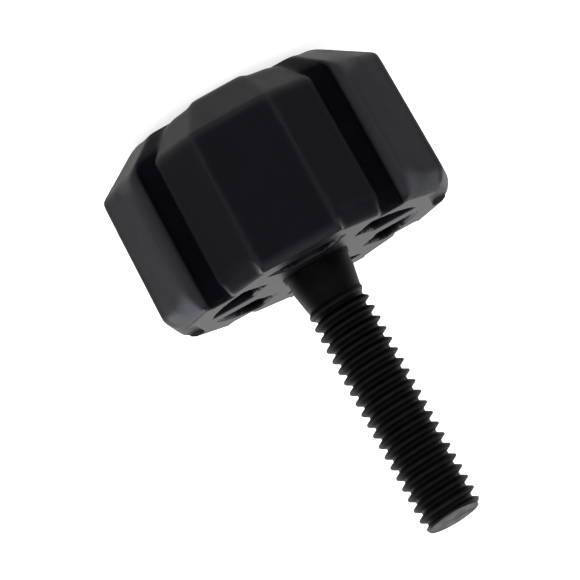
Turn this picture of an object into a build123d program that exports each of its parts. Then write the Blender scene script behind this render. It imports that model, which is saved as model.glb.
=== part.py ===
from build123d import *
import os
from math import radians, tan

# Thumb screw: a moulded plastic knob on a threaded steel stud, in millimetres.
# It stands on the flat crown of its knob, with the stud pointing up along +Z.

# Knob levels, measured up from the crown, and the slopes between them
knob_height = 22.2              # crown to the underside that meets the work
knob_reach = 18.55              # axis to each of the four end facets, where widest
rim_height = 4.45               # where the upright sides turn into the crown's bevel
side_draft_angle = 1.2          # mould draft of the upright sides, in degrees
crown_slope_angle = 34.0        # slope of the crown's bevel, in degrees
skirt_chamfer_height = 2.1      # chamfer between the sides and the underside
skirt_chamfer_width = 1.2

# Outline of one quarter of the knob, seen along the axis
band_width = 10.6               # width of each end facet
front_corner_x = 10.4           # outer corner of the front lobe, beside the groove
front_corner_y = 13.9
side_corner_x = 13.8            # outer corner of the side lobe, beside the groove
side_corner_y = 13.3
groove_floor_y = 10.9           # how close the grip groove comes to the middle plane
groove_wall_x = 12.65           # where the groove meets the side lobe
groove_floor_radius = 0.8

# Bands that run over the lobes, standing a little proud of them
band_proud_side = 0.15
band_proud_crown = 0.4
band_foot_chamfer = 0.75
crown_edge_radius = 3.4         # rounding where the bevel meets the flat crown
crown_trim = 0.03               # taken off the lobes' crown, where their rounded corners run out
lobe_edge_radius = 0.8          # soft edges of the lobes
foot_edge_radius = 0.4          # soft edge of the underside

# Hollow underside with a hub and ribs
wall_inner_radius = 13.5
hub_radius = 8.35
rib_count = 6
rib_width = 3.9
pocket_depth = 12.0
step_reach = 15.3               # axis to the shallow step under each side lobe
step_depth = 0.6

# Stud: turned steel, with a hexagonal head moulded into the knob
stud_projection = 34.3          # underside of the knob to the stud's tip
thread_major_radius = 3.82
neck_radius = 3.55              # where the shank's taper ends and the thread begins
shank_radius = 3.97
shank_length = 2.0              # plain shank outside the knob
shank_taper_length = 2.3
flange_radius = 4.2
flange_proud = 0.45             # what stands out of the hub
flange_buried = 0.8             # what the plastic closes round
tip_radius = 3.1
tip_chamfer_length = 1.2
embedded_length = 15.0          # underside of the knob to the head's far face
head_flats = 11.0
head_thickness = 4.5


def rim_share():
    """Size of the outline at the rim, as a share of where it is widest."""
    side_height = knob_height - skirt_chamfer_height - rim_height
    return 1 - side_height * tan(radians(side_draft_angle)) / knob_reach


def bevel_share(height):
    """Size of the outline on the crown's bevel at a height, as a share of where it is widest."""
    run = (rim_height - height) / tan(radians(crown_slope_angle))
    return rim_share() - run / knob_reach


def level(face, share, height):
    """A flat outline scaled about the axis and set at a height."""
    return Pos(0, 0, height) * scale(face, by=share)


def edges_at(body, height):
    """The body's edges that lie flat at a height."""
    flat = body.edges().filter_by(lambda edge: edge.bounding_box().size.Z < 1e-4)
    return flat.filter_by(lambda edge: abs(edge.center().Z - height) < 1e-3)


def whole_turn(quarter):
    """A quarter's points mirrored into a closed outline."""
    right_rear = [(x, -y) for x, y in reversed(quarter)]
    left_rear = [(-x, -y) for x, y in quarter]
    left_front = [(-x, y) for x, y in reversed(quarter)]
    return quarter + right_rear + left_rear + left_front


def lobe_pair(quarter):
    """Two opposite lobes as one block: chamfered skirt, drafted sides and bevelled crown."""
    face = make_face(Polyline(*whole_turn(quarter), close=True))
    skirt_height = knob_height - skirt_chamfer_height
    sections = [
        level(face, bevel_share(band_proud_crown), band_proud_crown),
        level(face, rim_share(), rim_height),
        level(face, 1, skirt_height),
        level(face, 1 - skirt_chamfer_width / knob_reach, knob_height),
    ]
    body = loft(sections, ruled=True)
    body = fillet(edges_at(body, band_proud_crown), crown_edge_radius)
    upright = body.edges().filter_by(lambda edge: edge.bounding_box().size.Z > edge.length / 4)
    soft = upright + edges_at(body, rim_height) + edges_at(body, skirt_height)
    body = fillet(soft, lobe_edge_radius)
    body = fillet(edges_at(body, knob_height), foot_edge_radius)
    crown = Plane.XY.offset(band_proud_crown + crown_trim)
    return split(body, bisect_by=crown, keep=Keep.TOP)


def groove():
    """One grip groove's hollow, narrowing with the lobes over the crown."""
    depth = knob_reach - groove_floor_y
    width = groove_wall_x - front_corner_x / 2
    middle = Pos(front_corner_x / 2 + width / 2, groove_floor_y + depth / 2)
    slot = middle * RectangleRounded(width, depth, groove_floor_radius)
    sections = [
        level(slot, bevel_share(0), 0),
        level(slot, rim_share(), rim_height),
        level(slot, 1, knob_height - skirt_chamfer_height),
        level(slot, 1, knob_height + skirt_chamfer_height),
    ]
    return loft(sections, ruled=True)


def grooves():
    """The four grip grooves between the lobes."""
    first = groove()
    second = mirror(first, about=Plane.YZ)
    return [first, second, mirror(first, about=Plane.XZ), mirror(second, about=Plane.XZ)]


def cross(width, side_reach, front_reach, height):
    """Outline of the two crossed bands at a height."""
    quarter = [(width / 2, front_reach), (width / 2, width / 2), (side_reach, width / 2)]
    return Pos(0, 0, height) * make_face(Polyline(*whole_turn(quarter), close=True))


def bands():
    """Crossed bands that run over the lobes and across the crown, rounded onto the crown."""
    top = bevel_share(0)
    rim = rim_share()
    skirt_slope = skirt_chamfer_width / skirt_chamfer_height
    at_foot = knob_reach - skirt_slope * (skirt_chamfer_height - band_foot_chamfer)
    sections = [
        cross(band_width * top, knob_reach * top, knob_reach * top, 0),
        cross(band_width * rim, knob_reach * rim, knob_reach * rim, rim_height),
        cross(band_width, knob_reach, knob_reach, knob_height - skirt_chamfer_height),
        cross(band_width, at_foot, knob_reach, knob_height - band_foot_chamfer),
        cross(band_width, knob_reach - skirt_chamfer_width, knob_reach - band_foot_chamfer, knob_height),
    ]
    body = loft(sections, ruled=True)
    crown = edges_at(body, 0)
    ends = crown.filter_by(lambda edge: min(abs(edge.center().X), abs(edge.center().Y)) < 1e-3)
    return fillet(ends, crown_edge_radius)


def pockets():
    """The hollows between the ribs, open at the underside."""
    ring = Circle(wall_inner_radius) - Circle(hub_radius)
    for index in range(rib_count):
        arm = Pos(wall_inner_radius / 2, 0) * Rectangle(wall_inner_radius, rib_width)
        ring -= Rot(0, 0, index * 360 / rib_count) * arm
    return extrude(Pos(0, 0, knob_height) * ring, -pocket_depth)


def steps():
    """The shallow steps under the ends of the two side lobes."""
    step = Box(knob_reach, band_width, step_depth, align=(Align.MIN, Align.CENTER, Align.MAX))
    return [Rot(0, 0, turn) * Pos(step_reach, 0, knob_height) * step for turn in (0, 180)]


def stud():
    """The turned steel stud: head, shank, flange, neck and threaded length."""
    head_far = knob_height - embedded_length
    head_near = head_far + head_thickness
    flange_bottom = knob_height - flange_buried
    flange_top = knob_height + flange_proud
    shank_top = knob_height + shank_length
    neck_top = shank_top + shank_taper_length
    thread_start = neck_top + thread_major_radius - neck_radius
    tip = knob_height + stud_projection
    profile = Polyline(
        (0, head_far),
        (shank_radius, head_far),
        (shank_radius, flange_bottom),
        (flange_radius, flange_bottom),
        (flange_radius, flange_top),
        (shank_radius, flange_top),
        (shank_radius, shank_top),
        (neck_radius, neck_top),
        (thread_major_radius, thread_start),
        (thread_major_radius, tip - tip_chamfer_length),
        (tip_radius, tip),
        (0, tip),
        close=True,
    )
    turned = revolve(Plane.XZ * make_face(profile), Axis.Z)
    hexagon = RegularPolygon(head_flats / 2, 6, major_radius=False)
    head = extrude(Pos(0, 0, head_far) * hexagon, head_near - head_far)
    return turned + head


def knob(moulded_in):
    """The moulded knob, closed round the stud's buried end."""
    reach = knob_reach - band_proud_side
    side_lobes = lobe_pair([(side_corner_x, side_corner_y), (reach, band_width / 2)])
    front_lobes = lobe_pair([(band_width / 2, reach), (front_corner_x, front_corner_y)])
    body = side_lobes - grooves() + front_lobes + bands()
    return body - pockets() - steps() - moulded_in


stud_solid = stud()
knob_solid = knob(stud_solid)
os.makedirs("parts", exist_ok=True)
for name, solid in {"knob": knob_solid, "threaded_stud": stud_solid}.items():
    solid.label = name
    export_step(solid, f"parts/{name}.step")
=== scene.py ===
import bmesh
import bpy
from math import cos, hypot, pi, radians, sin
from mathutils import Matrix, Vector


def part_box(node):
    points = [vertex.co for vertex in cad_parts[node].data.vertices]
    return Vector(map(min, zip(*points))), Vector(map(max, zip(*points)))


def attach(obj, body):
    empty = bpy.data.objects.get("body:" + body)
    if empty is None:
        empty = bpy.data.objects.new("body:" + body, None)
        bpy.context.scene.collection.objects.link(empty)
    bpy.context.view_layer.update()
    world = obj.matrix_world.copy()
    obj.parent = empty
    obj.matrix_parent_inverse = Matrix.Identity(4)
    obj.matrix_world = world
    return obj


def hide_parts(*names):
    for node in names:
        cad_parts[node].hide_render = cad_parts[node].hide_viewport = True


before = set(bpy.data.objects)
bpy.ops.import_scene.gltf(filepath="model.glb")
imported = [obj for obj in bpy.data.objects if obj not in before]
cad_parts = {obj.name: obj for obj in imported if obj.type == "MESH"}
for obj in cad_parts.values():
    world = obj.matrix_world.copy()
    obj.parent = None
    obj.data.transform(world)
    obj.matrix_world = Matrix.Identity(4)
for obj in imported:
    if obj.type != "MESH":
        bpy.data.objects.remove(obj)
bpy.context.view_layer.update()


# The camera sees the thumb screw from beside its stud and a little above the
# knob's underside, through a long lens, and is rolled so that the stud points
# down to the right.
photo_width = 580
pixels_per_mm = 8.57
lens_pixels = 4800
view_yaw = radians(2.2)
view_elevation = radians(6.5)
view_roll = radians(28.66)
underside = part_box("knob")[1].z
sight_left_of_axis = 0.00403
sight_above_underside = 0.00114
sensor_width = 36

flat_part = cos(view_elevation)
flat_right = sin(view_yaw) * flat_part
flat_front = cos(view_yaw) * flat_part
towards_camera = Vector((flat_right, flat_front, sin(view_elevation)))
straight_right = Vector((cos(view_yaw), -sin(view_yaw), 0))
straight_up = towards_camera.cross(straight_right)
camera_right = straight_right * cos(view_roll) - straight_up * sin(view_roll)
camera_up = straight_right * sin(view_roll) + straight_up * cos(view_roll)
sight_on_axis = Vector((0, 0, underside + sight_above_underside))
sight_point = sight_on_axis - straight_right * sight_left_of_axis
distance = lens_pixels / pixels_per_mm / 1000

camera_data = bpy.data.cameras.new("camera")
camera_data.sensor_width = sensor_width
camera_data.lens = lens_pixels * sensor_width / photo_width
camera_data.clip_start = 0.01
camera_data.clip_end = 20
camera = bpy.data.objects.new("camera", camera_data)
bpy.context.scene.collection.objects.link(camera)
turn = Matrix((camera_right, camera_up, towards_camera)).transposed().to_4x4()
camera.matrix_world = Matrix.Translation(sight_point + towards_camera * distance) @ turn
bpy.context.scene.camera = camera


# The knob is one moulding of near-black plastic, closed round the stud's buried
# end. Its faces have a fine even texture and a soft sheen, and the grip grooves
# are dull. Its outer edges are rounded and carry a painted highlight, a little paler than the faces.
grain_detail = 3
patch_detail = 5
patch_dark_below = 0.35
patch_light_above = 0.75


def fine_texture_group():
    """Fine and broad surface variation, shared by the plastic and the steel."""
    group = bpy.data.node_groups.new("fine_texture", "ShaderNodeTree")
    for name in ("Grain Scale", "Patch Scale"):
        group.interface.new_socket(name, in_out="INPUT", socket_type="NodeSocketFloat")
    for name in ("Grain", "Patches"):
        group.interface.new_socket(name, in_out="OUTPUT", socket_type="NodeSocketFloat")
    given = group.nodes.new("NodeGroupInput")
    result = group.nodes.new("NodeGroupOutput")
    place = group.nodes.new("ShaderNodeTexCoord")
    noises = (("Grain Scale", "Grain", grain_detail), ("Patch Scale", "Patches", patch_detail))
    for scale_name, output_name, detail in noises:
        noise = group.nodes.new("ShaderNodeTexNoise")
        noise.inputs["Detail"].default_value = detail
        group.links.new(place.outputs["Object"], noise.inputs["Vector"])
        group.links.new(given.outputs[scale_name], noise.inputs["Scale"])
        group.links.new(noise.outputs["Fac"], result.inputs[output_name])
    return group


fine_texture = fine_texture_group()


def textured_material(name, grain_size, patch_size, grain_depth, dark, light, rough_low, rough_high):
    """A material whose colour, roughness and relief follow the fine texture, and its shader."""
    material = bpy.data.materials.new(name)
    material.use_nodes = True
    nodes = material.node_tree.nodes
    links = material.node_tree.links
    shader = nodes["Principled BSDF"]
    texture = nodes.new("ShaderNodeGroup")
    texture.node_tree = fine_texture
    texture.inputs["Grain Scale"].default_value = 1 / grain_size
    texture.inputs["Patch Scale"].default_value = 1 / patch_size
    colour = nodes.new("ShaderNodeValToRGB")
    colour.color_ramp.elements[0].position = patch_dark_below
    colour.color_ramp.elements[1].position = patch_light_above
    colour.color_ramp.elements[0].color = dark
    colour.color_ramp.elements[1].color = light
    rough = nodes.new("ShaderNodeMapRange")
    rough.inputs["To Min"].default_value = rough_low
    rough.inputs["To Max"].default_value = rough_high
    relief = nodes.new("ShaderNodeBump")
    relief.inputs["Distance"].default_value = grain_depth
    links.new(texture.outputs["Patches"], colour.inputs["Fac"])
    links.new(colour.outputs["Color"], shader.inputs["Base Color"])
    links.new(texture.outputs["Patches"], rough.inputs["Value"])
    links.new(rough.outputs["Result"], shader.inputs["Roughness"])
    links.new(texture.outputs["Grain"], relief.inputs["Height"])
    links.new(relief.outputs["Normal"], shader.inputs["Normal"])
    return material, shader


plastic_sheen = 0.12
plastic_sheen_tint = (0.90, 0.92, 1, 1)
# Painted highlight: the rounded outer edges get this paler colour in place of the light they catch.
edge_highlight_colour = (0.0200, 0.0200, 0.0240, 1)
full_highlight_depth = 0.00012
underside_roughness = 0.37
groove_roughness = 0.95
underside_blend = 0.0003


def piece_mask(tree, attribute_name):
    """A mask that the piece's mesh carries as an attribute."""
    mask = tree.nodes.new("ShaderNodeAttribute")
    mask.attribute_name = attribute_name
    return mask.outputs["Fac"]


def height_mask(tree, low, high):
    """A mask that rises from 0 to 1 between two heights."""
    place = tree.nodes.new("ShaderNodeTexCoord")
    heights = tree.nodes.new("ShaderNodeSeparateXYZ")
    mask = tree.nodes.new("ShaderNodeMapRange")
    mask.inputs["From Min"].default_value = low
    mask.inputs["From Max"].default_value = high
    tree.links.new(place.outputs["Object"], heights.inputs["Vector"])
    tree.links.new(heights.outputs["Z"], mask.inputs["Value"])
    return mask.outputs["Result"]


def blend_over(tree, socket, mask, value):
    """Lead one of the shader's inputs over to a set value where the mask is 1."""
    mix = tree.nodes.new("ShaderNodeMix")
    if socket.type == "RGBA":
        mix.data_type = "RGBA"
    same_type = [end for end in mix.inputs if end.type == socket.type]
    before, after = [end for end in same_type if end.name in ("A", "B")]
    mixed = next(end for end in mix.outputs if end.type == socket.type)
    after.default_value = value
    tree.links.new(socket.links[0].from_socket, before)
    tree.links.new(mask, mix.inputs["Factor"])
    tree.links.new(mixed, socket)


knob_plastic, plastic_shader = textured_material(
    "knob_plastic",
    grain_size=0.00022,
    patch_size=0.004,
    grain_depth=0.000018,
    dark=(0.0018, 0.0018, 0.0036, 1),
    light=(0.0028, 0.0028, 0.0050, 1),
    rough_low=0.36,
    rough_high=0.56,
)
plastic_shader.inputs["Specular IOR Level"].default_value = plastic_sheen
plastic_shader.inputs["Specular Tint"].default_value = plastic_sheen_tint
plastic_tree = knob_plastic.node_tree
plastic_roughness = plastic_shader.inputs["Roughness"]
plastic_base = plastic_shader.inputs["Base Color"]
on_underside = height_mask(plastic_tree, underside - underside_blend, underside - underside_blend / 3)
in_groove = piece_mask(plastic_tree, "groove_depth")
on_highlit_edge = piece_mask(plastic_tree, "painted_edge_highlight")
blend_over(plastic_tree, plastic_roughness, on_underside, underside_roughness)
blend_over(plastic_tree, plastic_roughness, in_groove, groove_roughness)
# Paint the edge highlight into the base colour along the rounded edges.
blend_over(plastic_tree, plastic_base, on_highlit_edge, edge_highlight_colour)

knob_voxel = 0.0003
outside_easing = 10
underside_easing = 2
underside_edge = 0.0004
lobe_corner_x = 0.0138
lobe_corner_y = 0.0133
lobe_easing = 97
lobe_easing_reach = 0.0055
lobe_full_easing_reach = 0.00275
groove_wall = 0.0123
groove_wall_fade = 0.0008
groove_middle = 0.0115
groove_reach = 0.0024
groove_side_fade = 0.0016
groove_mouth = 0.0134
groove_mouth_fade = 0.0010
groove_floor = 0.0105
groove_fade = 0.0003
rim_height = 0.00445
crown_share = 0.63
fine_weld_distance = 1e-6


def applied(piece):
    """The piece's mesh with its modifiers taken in."""
    bpy.context.view_layer.update()
    evaluated = piece.evaluated_get(bpy.context.evaluated_depsgraph_get())
    mesh = bpy.data.meshes.new_from_object(evaluated)
    piece.modifiers.clear()
    return mesh


def held_between(value, low, high):
    """The value, or the limit that it passes."""
    return min(max(value, low), high)


def near_lobe_corner(place):
    """How much of the extra rounding a point on the side lobes' corners gets, from 0 to 1."""
    x, y = abs(place.x), abs(place.y)
    away = hypot(x - lobe_corner_x, y - lobe_corner_y)
    near = (lobe_easing_reach - away) / (lobe_easing_reach - lobe_full_easing_reach)
    past_groove = (x - groove_wall) / groove_wall_fade
    return held_between(min(near, past_groove), 0, 1)


def depth_in_groove(place):
    """How far inside a grip groove a point is, from 0 to 1; grooves draw in towards the crown."""
    share = min(crown_share + (1 - crown_share) * place.z / rim_height, 1)
    beside, out = abs(place.x) / share, abs(place.y) / share
    across = (groove_reach - abs(beside - groove_middle)) / groove_side_fade
    behind_mouth = (groove_mouth - out) / groove_mouth_fade
    before_floor = (out - groove_floor) / groove_fade + 1
    below_underside = (underside - underside_edge - place.z) / groove_fade
    return held_between(min(across, behind_mouth, before_floor, below_underside), 0, 1)


def eased_moulding():
    """The knob's CAD shape with its edges rounded, as they leave the mould."""
    merged = bmesh.new()
    merged.from_mesh(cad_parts["knob"].data)
    bmesh.ops.remove_doubles(merged, verts=merged.verts, dist=fine_weld_distance)
    mesh = bpy.data.meshes.new("knob_moulding")
    merged.to_mesh(mesh)
    merged.free()
    piece = bpy.data.objects.new("knob_moulding", mesh)
    bpy.context.scene.collection.objects.link(piece)
    even = piece.modifiers.new("even", "REMESH")
    even.mode = "VOXEL"
    even.voxel_size = knob_voxel
    piece.data = applied(piece)

    sharp = [vertex.co.copy() for vertex in piece.data.vertices]
    outside = piece.vertex_groups.new(name="outside")
    corners = piece.vertex_groups.new(name="lobe_corners")
    for vertex in piece.data.vertices:
        if vertex.co.z < underside - underside_edge:
            outside.add([vertex.index], 1, "REPLACE")
            weight = near_lobe_corner(vertex.co)
            if weight > 0:
                corners.add([vertex.index], weight, "REPLACE")
    roundings = {"": underside_easing, "outside": outside_easing, "lobe_corners": lobe_easing}
    for group_name, rounds in roundings.items():
        easing = piece.modifiers.new("easing", "SMOOTH")
        easing.iterations = rounds
        easing.vertex_group = group_name
    piece.data = applied(piece)
    lowest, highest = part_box("knob")
    for vertex in piece.data.vertices:
        vertex.co = [held_between(*sizes) for sizes in zip(vertex.co, lowest, highest)]

    vertices = piece.data.vertices
    # The painted edge highlight grows with how deep the easing cut into each point.
    eased_depth = [(was - vertex.co).dot(vertex.normal) for was, vertex in zip(sharp, vertices)]
    edge_highlight_share = [held_between(depth / full_highlight_depth, 0, 1) for depth in eased_depth]
    depths = [depth_in_groove(vertex.co) for vertex in vertices]
    piece.data.attributes.new("groove_depth", "FLOAT", "POINT").data.foreach_set("value", depths)
    piece.data.attributes.new("painted_edge_highlight", "FLOAT", "POINT").data.foreach_set("value", edge_highlight_share)
    return piece


knob = eased_moulding()
knob.data.materials.clear()
knob.data.materials.append(knob_plastic)
knob.data.shade_smooth()
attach(knob, "root")
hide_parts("knob")


# The stud is turned from steel, threaded and blackened. It has a thin flange
# against the knob's hub and a plain shank that tapers into the thread. Its end
# has a small chamfer and was cut off a little askew, which bared the metal.
stud_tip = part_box("threaded_stud")[1].z
crest_radius = 0.00377
root_radius = 0.00305
crest_share = 0.18
root_starts_at = 3 / 8
thread_pitch = 0.0254 / 18
spare_turns = 3
flange_radius = 0.0042
flange_thickness = 0.00045
flange_buried = 0.0008
shank_radius = 0.00397
shank_length = 0.0020
shank_taper_length = 0.0023
neck_radius = 0.00355
buried_length = 0.0060
tip_radius = 0.0033
tip_chamfer_length = 0.0008
thread_phase = 0.21
end_slope = 0.14
end_slope_across = 0.05
run_out_length = 0.0020
around = 96
across_thread = 17
weld_distance = 2e-6
end_facing = 0.97
end_turns = 2
sharp_angle = radians(28)
black_steel_sheen = 0.12
bare_steel_metallic = 0.9
bare_steel_edge_tint = (0.60, 0.59, 0.61, 1)
neck_end = underside + shank_length + shank_taper_length
thread_sizes = {
    "Pitch": thread_pitch,
    "Crest Radius": crest_radius,
    "Root Radius": root_radius,
    "Neck Radius": neck_radius,
    "Start": neck_end,
    "End": stud_tip,
    "Tip Radius": tip_radius,
    "Chamfer": tip_chamfer_length,
    "Run Out": run_out_length,
    "Phase": thread_phase,
    "End Slope": end_slope,
    "End Slope Across": end_slope_across,
    "Around": around,
    "Turns": int((stud_tip - neck_end) / thread_pitch) + spare_turns,
}


def shank_mesh():
    """The flange and plain shank, spun about the axis and left open where the thread begins."""
    outline = [
        (0, underside - buried_length),
        (shank_radius, underside - buried_length),
        (shank_radius, underside - flange_buried),
        (flange_radius, underside - flange_buried),
        (flange_radius, underside + flange_thickness),
        (shank_radius, underside + flange_thickness),
        (shank_radius, underside + shank_length),
        (neck_radius, neck_end),
    ]
    build = bmesh.new()
    points = [build.verts.new((r, 0, z)) for r, z in outline]
    edges = [build.edges.new(pair) for pair in zip(points, points[1:])]
    outline_parts = points + edges
    bmesh.ops.spin(
        build, geom=outline_parts, axis=(0, 0, 1), cent=(0, 0, 0), steps=around, angle=2 * pi)
    bmesh.ops.remove_doubles(build, verts=build.verts, dist=fine_weld_distance)
    bmesh.ops.recalc_face_normals(build, faces=build.faces)
    mesh = bpy.data.meshes.new("stud_shank")
    build.to_mesh(mesh)
    build.free()
    return mesh


def thread_tree(bare_metal, black_metal):
    """Nodes that wind a right-handed thread between two heights and join it to the shank."""
    tree = bpy.data.node_groups.new("screw_thread", "GeometryNodeTree")
    tree.interface.new_socket("Geometry", in_out="INPUT", socket_type="NodeSocketGeometry")
    for name, value in thread_sizes.items():
        socket_type = "NodeSocketInt" if isinstance(value, int) else "NodeSocketFloat"
        tree.interface.new_socket(name, in_out="INPUT", socket_type=socket_type)
    tree.interface.new_socket("Geometry", in_out="OUTPUT", socket_type="NodeSocketGeometry")
    nodes = tree.nodes
    links = tree.links
    given = nodes.new("NodeGroupInput")
    result = nodes.new("NodeGroupOutput")

    def feed(socket, value):
        if isinstance(value, (int, float)):
            socket.default_value = value
        else:
            links.new(value, socket)

    def math(operation, *values, clamp=False):
        node = nodes.new("ShaderNodeMath")
        node.operation = operation
        node.use_clamp = clamp
        for socket, value in zip(node.inputs, values):
            feed(socket, value)
        return node.outputs[0]

    grid = nodes.new("GeometryNodeMeshGrid")
    grid.inputs["Size X"].default_value = 1
    grid.inputs["Size Y"].default_value = 1
    grid.inputs["Vertices Y"].default_value = across_thread
    steps = math("MULTIPLY", given.outputs["Around"], given.outputs["Turns"])
    links.new(math("ADD", steps, 1), grid.inputs["Vertices X"])

    start = given.outputs["Start"]
    tip = given.outputs["Tip Radius"]
    crest = given.outputs["Crest Radius"]
    root = given.outputs["Root Radius"]
    neck = given.outputs["Neck Radius"]
    where = nodes.new("GeometryNodeInputPosition")
    split = nodes.new("ShaderNodeSeparateXYZ")
    links.new(where.outputs[0], split.inputs[0])
    along = math("MULTIPLY", math("ADD", split.outputs["X"], 0.5), given.outputs["Turns"])
    across = math("ADD", split.outputs["Y"], 0.5)

    angle = math("MULTIPLY", along, 2 * pi)
    turns_up = math("SUBTRACT", math("ADD", along, across), math("ADD", given.outputs["Phase"], 1))
    free_height = math("ADD", start, math("MULTIPLY", turns_up, given.outputs["Pitch"]))
    around_side = math("SINE", angle)
    around_face = math("COSINE", angle)

    def end_height(x, y):
        from_rear = math("ADD", y, tip)
        from_left = math("ADD", x, tip)
        forward = math("MULTIPLY", from_rear, given.outputs["End Slope"])
        sideways = math("MULTIPLY", from_left, given.outputs["End Slope Across"])
        return math("SUBTRACT", given.outputs["End"], math("ADD", forward, sideways))

    end_here = end_height(math("MULTIPLY", around_face, tip), math("MULTIPLY", around_side, tip))
    height = math("MINIMUM", math("MAXIMUM", free_height, start), end_here)

    from_crest = math("ABSOLUTE", math("SUBTRACT", across, 0.5))
    flank_start = crest_share / 2
    flank_width = root_starts_at - flank_start
    past_crest = math("SUBTRACT", from_crest, flank_start)
    depth_share = math("DIVIDE", past_crest, flank_width, clamp=True)
    past_start = math("SUBTRACT", height, start)
    run_in = math("DIVIDE", past_start, given.outputs["Run Out"], clamp=True)
    crest_here = math("ADD", neck, math("MULTIPLY", math("SUBTRACT", crest, neck), run_in))
    root_here = math("SUBTRACT", neck, math("MULTIPLY", math("SUBTRACT", neck, root), run_in))
    cut = math("MULTIPLY", math("SUBTRACT", crest_here, root_here), depth_share)
    free_radius = math("SUBTRACT", crest_here, cut)

    before_end = math("SUBTRACT", end_here, height)
    to_end = math("DIVIDE", before_end, given.outputs["Chamfer"], clamp=True)
    most = math("ADD", tip, math("MULTIPLY", to_end, math("SUBTRACT", crest, tip)))
    filled = math("MULTIPLY", math("SUBTRACT", tip, root), math("SUBTRACT", 1, to_end))
    least = math("ADD", root, filled)
    radius = math("MAXIMUM", math("MINIMUM", free_radius, most), least)

    place = nodes.new("ShaderNodeCombineXYZ")
    links.new(math("MULTIPLY", radius, around_face), place.inputs["X"])
    links.new(math("MULTIPLY", radius, around_side), place.inputs["Y"])
    links.new(height, place.inputs["Z"])
    wind = nodes.new("GeometryNodeSetPosition")
    links.new(grid.outputs["Mesh"], wind.inputs["Geometry"])
    links.new(place.outputs[0], wind.inputs["Position"])
    end_disc = nodes.new("GeometryNodeMeshCircle")
    end_disc.fill_type = "TRIANGLE_FAN"
    links.new(given.outputs["Around"], end_disc.inputs["Vertices"])
    links.new(tip, end_disc.inputs["Radius"])
    lift = nodes.new("GeometryNodeSetPosition")
    end_place = nodes.new("ShaderNodeCombineXYZ")
    links.new(end_height(split.outputs["X"], split.outputs["Y"]), end_place.inputs["Z"])
    links.new(end_disc.outputs["Mesh"], lift.inputs["Geometry"])
    links.new(end_place.outputs[0], lift.inputs["Offset"])

    joined = nodes.new("GeometryNodeJoinGeometry")
    for piece in (lift, wind, given):
        links.new(piece.outputs["Geometry"], joined.inputs["Geometry"])
    seam = nodes.new("GeometryNodeMergeByDistance")
    seam.inputs["Distance"].default_value = weld_distance
    real = nodes.new("GeometryNodeRealizeInstances")
    blackened = nodes.new("GeometryNodeSetMaterial")
    blackened.inputs["Material"].default_value = black_metal
    cut_end = nodes.new("GeometryNodeSetMaterial")
    cut_end.inputs["Material"].default_value = bare_metal
    normal = nodes.new("GeometryNodeInputNormal")
    facing = nodes.new("ShaderNodeSeparateXYZ")
    links.new(normal.outputs[0], facing.inputs[0])
    square_to_end = math("GREATER_THAN", facing.outputs["Z"], end_facing)
    last_turns = math("MULTIPLY", given.outputs["Pitch"], end_turns)
    end_part = math("SUBTRACT", given.outputs["End"], last_turns)
    near_end = math("GREATER_THAN", split.outputs["Z"], end_part)
    links.new(math("MULTIPLY", square_to_end, near_end), cut_end.inputs["Selection"])
    links.new(joined.outputs["Geometry"], seam.inputs["Geometry"])
    links.new(seam.outputs["Geometry"], real.inputs["Geometry"])
    links.new(real.outputs["Geometry"], blackened.inputs["Geometry"])
    links.new(blackened.outputs["Geometry"], cut_end.inputs["Geometry"])
    links.new(cut_end.outputs["Geometry"], result.inputs["Geometry"])
    return tree


black_steel, black_shader = textured_material(
    "black_steel",
    grain_size=0.00018,
    patch_size=0.0016,
    grain_depth=0.000006,
    dark=(0.0012, 0.0012, 0.0015, 1),
    light=(0.0040, 0.0038, 0.0046, 1),
    rough_low=0.46,
    rough_high=0.60,
)
black_shader.inputs["Specular IOR Level"].default_value = black_steel_sheen
bare_steel, bare_shader = textured_material(
    "bare_steel",
    grain_size=0.00025,
    patch_size=0.0016,
    grain_depth=0.000040,
    dark=(0.010, 0.0095, 0.011, 1),
    light=(0.24, 0.23, 0.245, 1),
    rough_low=0.30,
    rough_high=0.55,
)
bare_shader.inputs["Metallic"].default_value = bare_steel_metallic
bare_shader.inputs["Specular Tint"].default_value = bare_steel_edge_tint

blank = shank_mesh()
blank.materials.append(black_steel)
stud = bpy.data.objects.new("stud", blank)
bpy.context.scene.collection.objects.link(stud)
winding = stud.modifiers.new("thread", "NODES")
winding.node_group = thread_tree(bare_steel, black_steel)
for socket in winding.node_group.interface.items_tree:
    if socket.name in thread_sizes:
        winding[socket.identifier] = thread_sizes[socket.name]
wound = applied(stud)
finishes = [black_steel, bare_steel]
finish_of_face = [finishes.index(wound.materials[face.material_index]) for face in wound.polygons]
wound.materials.clear()
for finish in finishes:
    wound.materials.append(finish)
wound.polygons.foreach_set("material_index", finish_of_face)
wound.shade_smooth()
wound.set_sharp_from_angle(angle=sharp_angle)
stud.data = wound
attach(stud, "root")
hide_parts("threaded_stud")


# The surroundings are a plain white table in a white room. Both show white to
# the camera and in reflections, and the table keeps a faint shadow. A dark
# sheet round the viewer's half is seen only in reflections and holds no light back. It is a painted
# dark reflection standing for shade on the viewer's side.
floor_half = 3.0
white = (1, 1, 1, 1)
white_strength = 1.0
table_glow = 0.80
table_colour = (0.80, 0.80, 0.80, 1)
matte_roughness = 0.9
matte_sheen = 0.1


def matte_material(name, colour):
    """A plain matte surface for the surroundings, and its shader."""
    material = bpy.data.materials.new(name)
    material.use_nodes = True
    shader = material.node_tree.nodes["Principled BSDF"]
    shader.inputs["Base Color"].default_value = colour
    shader.inputs["Roughness"].default_value = matte_roughness
    shader.inputs["Specular IOR Level"].default_value = matte_sheen
    return material, shader


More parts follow.
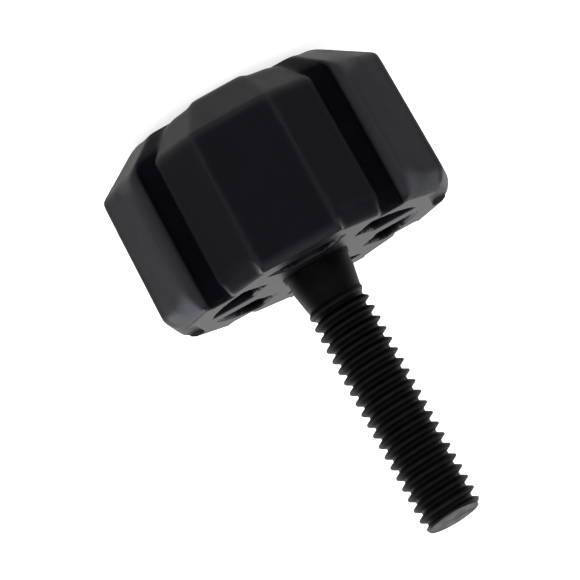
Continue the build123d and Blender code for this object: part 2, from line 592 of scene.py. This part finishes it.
def whiten_table(tree, lit):
    """Let the table glow a little to the camera, and show plain white in mirrors and glass."""
    rays = tree.nodes.new("ShaderNodeLightPath")
    glow = tree.nodes.new("ShaderNodeMath")
    glow.operation = "MULTIPLY"
    glow.inputs[1].default_value = table_glow
    mirrored = tree.nodes.new("ShaderNodeMath")
    mirrored.operation = "MAXIMUM"
    plain_white = tree.nodes.new("ShaderNodeEmission")
    plain_white.inputs["Strength"].default_value = white_strength
    either = tree.nodes.new("ShaderNodeMixShader")
    lit.inputs["Emission Color"].default_value = white
    tree.links.new(rays.outputs["Is Camera Ray"], glow.inputs[0])
    tree.links.new(glow.outputs["Value"], lit.inputs["Emission Strength"])
    tree.links.new(rays.outputs["Is Glossy Ray"], mirrored.inputs[0])
    tree.links.new(rays.outputs["Is Transmission Ray"], mirrored.inputs[1])
    tree.links.new(mirrored.outputs["Value"], either.inputs[0])
    tree.links.new(lit.outputs["BSDF"], either.inputs[1])
    tree.links.new(plain_white.outputs["Emission"], either.inputs[2])
    tree.links.new(either.outputs["Shader"], tree.nodes["Material Output"].inputs["Surface"])


white_table, table_shader = matte_material("white_table", table_colour)
whiten_table(white_table.node_tree, table_shader)
floor_mesh = bpy.data.meshes.new("floor")
floor_turns = ((-1, -1), (1, -1), (1, 1), (-1, 1))
floor_corners = [(x * floor_half, y * floor_half, 0) for x, y in floor_turns]
floor_mesh.from_pydata(floor_corners, [], [(0, 1, 2, 3)])
floor_mesh.materials.append(white_table)
floor = bpy.data.objects.new("floor", floor_mesh)
bpy.context.scene.collection.objects.link(floor)

curtain_radius = 0.75
curtain_height = 0.55
curtain_left = radians(-118)
curtain_right = radians(140)
curtain_folds = 24
curtain_foot = 0.001
# Painted reflection: this dark colour shows only in the knob's and stud's reflections as shade on the
# viewer's side. It casts no shadow and takes no light away.
mirrored_shade_colour = (0.03, 0.03, 0.035, 1)
curtain_points = []
for fold in range(curtain_folds + 1):
    round_by = curtain_left + (curtain_right - curtain_left) * fold / curtain_folds
    x = curtain_radius * sin(round_by)
    y = curtain_radius * cos(round_by)
    curtain_points += [(x, y, curtain_foot), (x, y, curtain_height)]
starts = range(0, 2 * curtain_folds, 2)
curtain_faces = [(start, start + 2, start + 3, start + 1) for start in starts]
curtain_mesh = bpy.data.meshes.new("dark_reflection_sheet")
curtain_mesh.from_pydata(curtain_points, [], curtain_faces)
painted_dark_reflection, curtain_shader = matte_material("painted_dark_reflection", mirrored_shade_colour)
curtain_mesh.materials.append(painted_dark_reflection)
curtain = bpy.data.objects.new("dark_reflection_sheet", curtain_mesh)
curtain.visible_camera = False
curtain.visible_diffuse = False
curtain.visible_shadow = False
bpy.context.scene.collection.objects.link(curtain)

world = bpy.data.worlds.new("studio")
world.use_nodes = True
bpy.context.scene.world = world
sky = world.node_tree.nodes["Background"]
sky.inputs["Color"].default_value = white
sky.inputs["Strength"].default_value = white_strength


# Three large soft lamps add to the room's even light. Two stand behind the knob
# at its sides and give the side lobes their sheen, and one hangs above.
lamp_colour = (0.93, 0.95, 1)
lamp_size = 0.30


def soft_lamp(name, place, power):
    """A large square lamp that faces the middle of the knob's underside."""
    data = bpy.data.lights.new(name, "AREA")
    data.size = lamp_size
    data.energy = power
    data.color = lamp_colour
    lamp = bpy.data.objects.new(name, data)
    bpy.context.scene.collection.objects.link(lamp)
    lamp.location = place
    from_knob = Vector(place) - Vector((0, 0, underside))
    lamp.rotation_euler = from_knob.to_track_quat("Z", "Y").to_euler()


soft_lamp("right_lamp", (0.38, -0.36, 0.18), power=0.8)
soft_lamp("left_lamp", (-0.38, -0.36, 0.18), power=1.2)
soft_lamp("top_lamp", (0, 0.12, 0.50), power=0.8)

bpy.context.scene.view_settings.view_transform = "Standard"
